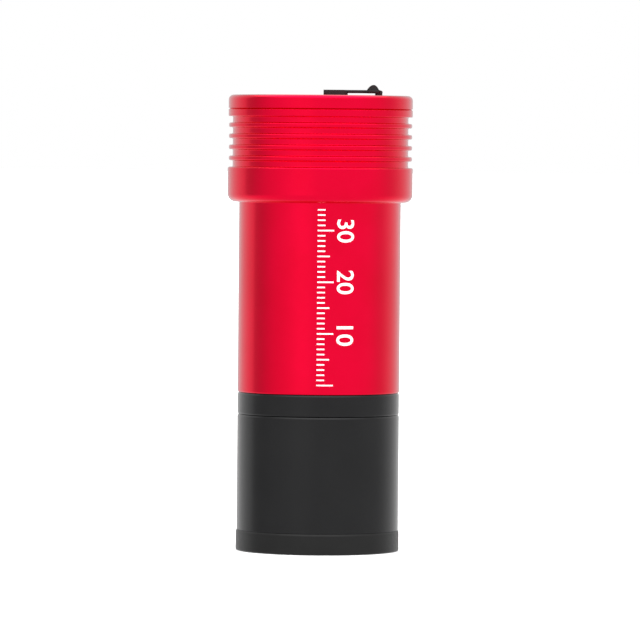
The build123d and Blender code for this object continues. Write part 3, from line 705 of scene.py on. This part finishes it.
def make_cover(material):
    """The rear lid with its spigot, and cut-outs for the jack, the USB port and the screws."""
    rim_rounding = 0.95 * MM
    spigot = 14.6 * MM
    spigot_inside = 13.4 * MM
    spigot_low = flange_rear - 1.7 * MM
    disc = lathe("cover_disc", rounded([
        (0, flange_rear, 0),
        (spigot_inside, flange_rear, 0.1 * MM),
        (spigot_inside, spigot_low, 0.1 * MM),
        (spigot, spigot_low, 0.15 * MM),
        (spigot, flange_rear, 0.05 * MM),
        (head_radius, flange_rear, 0.05 * MM),
        (head_radius, cover_rear, rim_rounding),
        (0, cover_rear, 0),
    ], steps=8), material, None)
    below = spigot_low - OVERLAP
    above = cover_rear + OVERLAP
    jack_low, jack_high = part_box("guide_jack")
    port_low, port_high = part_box("usb_shell")
    gap = 0.2 * MM
    tools = [
        prism("jack_hole",
              box_outline(jack_low.x - gap, jack_high.x + gap, jack_high.y + gap, 0.3 * MM),
              below, above, material),
        prism("port_hole",
              box_outline(port_low.x - gap, port_high.x + gap, port_high.y + gap,
                          (port_high.x - port_low.x) / 2 + gap - 0.05 * MM),
              below, above, material),
    ]
    hole = 0.64 * MM
    head = 1.32 * MM
    for k in range(4):
        angle = radians(45 + 90 * k)
        centre = (SCREW_CIRCLE * cos(angle), SCREW_CIRCLE * sin(angle))
        sink = [Vector((0, below)), Vector((hole, below)), Vector((hole, cover_rear - head + hole)),
                Vector((head + OVERLAP, above)), Vector((0, above))]
        tools.append(lathe(f"screw_hole_{k}", sink, material, None,
                           segments=64, centre=centre))
    cut(disc, tools)
    round_edges(disc, 0.1 * MM)
    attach(disc, "camera")
    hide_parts("rear_cover")


def make_port_plug(material):
    """Rubber anchor block, thin strap, and ridged head with its tongue."""
    anchor_low, anchor_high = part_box("port_plug_anchor")
    plug_low, plug_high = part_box("port_plug")
    strap_low = cover_rear + 0.5 * MM
    strap_high = anchor_high.z
    anchor_end = anchor_high.x

    # The anchor: a block with a sloped end, and the barbed stud that holds it in the cover.
    slope = 0.45 * MM
    block = prism("plug_anchor", rounded([
        (anchor_low.x, cover_rear, 0),
        (anchor_end, cover_rear, 0),
        (anchor_end, strap_high - slope, 0),
        (anchor_end - slope, strap_high, 0.3 * MM),
        (anchor_low.x, strap_high, 0),
    ]), -anchor_high.y, anchor_high.y, material, "Y")
    trim = prism("anchor_trim", box_outline(anchor_low.x, anchor_end, anchor_high.y, 0.6 * MM),
                 cover_rear - OVERLAP, strap_high + OVERLAP, material)
    cut(block, [trim], "INTERSECT")
    round_edges(block, 0.13 * MM)
    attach(block, "camera")
    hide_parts("port_plug_anchor")
    tip_radius = 0.8 * MM
    barb_radius = 1.35 * MM
    barb_rear = anchor_low.z + 1.1 * MM
    stud_radius = 0.9 * MM
    stud_rear = cover_rear + 0.1 * MM
    stud_place = (2.9 * MM, 0.0)
    stud = rounded([(0, anchor_low.z, 0), (tip_radius, anchor_low.z, 0.1 * MM),
                    (barb_radius, barb_rear, 0.08 * MM), (stud_radius, barb_rear, 0),
                    (stud_radius, stud_rear, 0), (0, stud_rear, 0)])
    lathe("plug_anchor_stud", stud, material, "camera",
          segments=48, centre=stud_place)

    # The strap: a flat ribbon with rounded edges, laid out in rows along its length.
    half_width = 2.6 * MM
    strap_edge = 0.2 * MM
    section = rounded([(-half_width, strap_low, strap_edge), (half_width, strap_low, strap_edge),
                       (half_width, strap_high, strap_edge), (-half_width, strap_high, strap_edge)],
                      steps=4)
    start = anchor_end - 0.8 * MM
    end = plug_low.x + 4.2 * MM
    rows = 56
    vertices = []
    for k in range(rows + 1):
        x = start + (end - start) * k / rows
        vertices += [(x, y, z) for y, z in section]
    size = len(section)
    faces = [list(range(size)), list(range(rows * size, (rows + 1) * size))]
    for k in range(rows):
        for i in range(size):
            j = (i + 1) % size
            faces.append([k * size + i, k * size + j, (k + 1) * size + j, (k + 1) * size + i])
    strap = new_piece("plug_strap", vertices, faces, material, None)
    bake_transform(strap)

    # The head: a plate with a grip ridge on it, a pad under its far side, the tongue that enters
    # the port, and a sloped tip.
    head_low_x = 8.95 * MM
    head_high_x = plug_high.x
    bite = 0.2 * MM                 # how far joined shapes reach into the plate
    plate = prism("plug_head", box_outline(head_low_x, head_high_x, plug_high.y, 1.0 * MM),
                  strap_low, strap_high, material)
    # the ridge is a rounded hump, steeper on its outer side
    peak_x = 10.3 * MM
    inner_reach = peak_x - head_low_x - 0.05 * MM
    outer_reach = 1.05 * MM
    ridge_half_width = 4.0 * MM
    rise = plug_high.z - strap_high
    fullness = 2.2
    steps = 20
    hump = [Vector((peak_x + outer_reach, strap_high - bite)),
            Vector((peak_x - inner_reach, strap_high - bite))]
    for k in range(steps + 1):
        u = 2 * k / steps - 1
        reach = inner_reach if u < 0 else outer_reach
        hump.append(Vector((peak_x + u * reach, strap_high + rise * (1 - abs(u) ** fullness))))
    ridge = prism("plug_ridge", hump, -ridge_half_width, ridge_half_width, material, "Y")
    pad_start, pad_end, pad_half_width = 10.65 * MM, 12.0 * MM, 4.85 * MM
    pad = prism("plug_pad", box_outline(pad_start, pad_end, pad_half_width, 0.5 * MM),
                cover_rear + 0.05 * MM, strap_low + bite, material)
    tongue_start, tongue_end, tongue_half_width = 10.7 * MM, 11.5 * MM, 3.8 * MM
    tongue = prism("plug_tongue", box_outline(tongue_start, tongue_end, tongue_half_width, 0.35 * MM),
                   plug_low.z, strap_low + bite, material)
    cut(plate, [ridge, pad, tongue], "UNION")
    # the tool that slopes the tip
    slope_start = peak_x + outer_reach + 0.05 * MM
    shoulder_x = head_high_x - 0.12 * MM
    shoulder = strap_high - 0.18 * MM
    tip = strap_high - 0.36 * MM
    clear_x = head_high_x + 0.5 * MM
    clear = strap_high + 0.1 * MM
    nose = prism("plug_nose", [Vector(corner) for corner in (
        (slope_start, clear), (slope_start, strap_high), (shoulder_x, shoulder), (head_high_x, tip),
        (clear_x, tip), (clear_x, clear))],
        -plug_high.y - OVERLAP, plug_high.y + OVERLAP, material, "Y")
    cut(plate, [nose])
    round_edges(plate, 0.1 * MM)
    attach(plate, "port_plug")
    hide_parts("port_plug")


# ---------------------------------------------------------------- printed scale

def wrap(name, flat, material):
    """Flat print, x round the barrel and y along it, laid on the barrel as a thin film of ink."""
    ink_low = barrel_radius - 0.02 * MM
    ink_high = barrel_radius + 0.012 * MM
    strip = 0.25 * MM
    reach = max(v.co.x for v in flat.verts)
    slice_x = min(v.co.x for v in flat.verts) + strip
    while slice_x < reach:
        bmesh.ops.bisect_plane(flat, geom=flat.verts[:] + flat.edges[:] + flat.faces[:], dist=1e-7,
                               plane_co=(slice_x, 0, 0), plane_no=(1, 0, 0))
        slice_x += strip
    flat.verts.index_update()
    vertices = []
    for radius in (ink_low, ink_high):
        for v in flat.verts:
            angle = v.co.x / barrel_radius - pi / 2
            vertices.append((radius * cos(angle), radius * sin(angle), v.co.y))
    count = len(flat.verts)
    faces = []
    for face in flat.faces:
        corners = [v.index for v in face.verts]
        faces.append(corners[::-1])
        faces.append([count + i for i in corners])
    for edge in flat.edges:
        if len(edge.link_faces) == 1:
            a, b = (v.index for v in edge.verts)
            faces.append([a, b, count + b, count + a])
    flat.free()
    new_piece(name, vertices, faces, material, "camera")


def make_scale(material):
    """A white depth scale along the barrel: a tick for every millimetre, a number for every ten."""
    scale_start = 33.0 * MM
    length = 34                     # millimetres
    left_edge = -0.4 * MM
    stroke = 0.28 * MM
    short_tick, middle_tick, long_tick = 1.5 * MM, 2.4 * MM, 3.2 * MM
    digit_size = 4.8 * MM
    digit_weight = 0.05 * MM
    baseline = left_edge + 3.9 * MM
    ticks = bmesh.new()
    for k in range(length + 1):
        tick = long_tick if k % 10 == 0 else middle_tick if k % 5 == 0 else short_tick
        right_edge = left_edge + tick
        height = scale_start + k * MM
        ticks.faces.new([ticks.verts.new(corner) for corner in (
            (left_edge, height - stroke / 2, 0), (right_edge, height - stroke / 2, 0),
            (right_edge, height + stroke / 2, 0), (left_edge, height + stroke / 2, 0))])
    wrap("scale_ticks", ticks, material)
    for number in range(10, length, 10):
        curve = bpy.data.curves.new("digits", "FONT")
        curve.body = str(number)
        curve.size = digit_size
        curve.align_x = "CENTER"
        curve.offset = digit_weight
        curve.resolution_u = 6
        writing = bpy.data.objects.new("digits", curve)
        bpy.context.scene.collection.objects.link(writing)
        printed = evaluated_mesh(writing)
        bpy.data.objects.remove(writing)
        # the digits lie on their side, their tops to the right
        printed.transform(Matrix.Translation((baseline, scale_start + number * MM, 0))
                          @ Matrix.Rotation(-pi / 2, 4, "Z"))
        digits = bmesh.new()
        digits.from_mesh(printed)
        bmesh.ops.remove_doubles(digits, verts=digits.verts, dist=1e-7)
        wrap(f"scale_number_{number}", digits, material)


# ---------------------------------------------------------------- build

bpy.context.scene.view_settings.view_transform = "Standard"
make_camera()
make_world()
make_floor()
materials = make_materials()
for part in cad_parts.values():
    part.data.materials[0] = materials[part.data.materials[0].name]
make_housing(materials["red_anodised"])
make_collar(materials["black_anodised"])
make_nosepiece(materials["black_anodised"])
make_dust_cap(materials["black_plastic"])
make_cover(materials["red_anodised"])
make_port_plug(materials["black_rubber"])
make_scale(materials["printed_ink"])
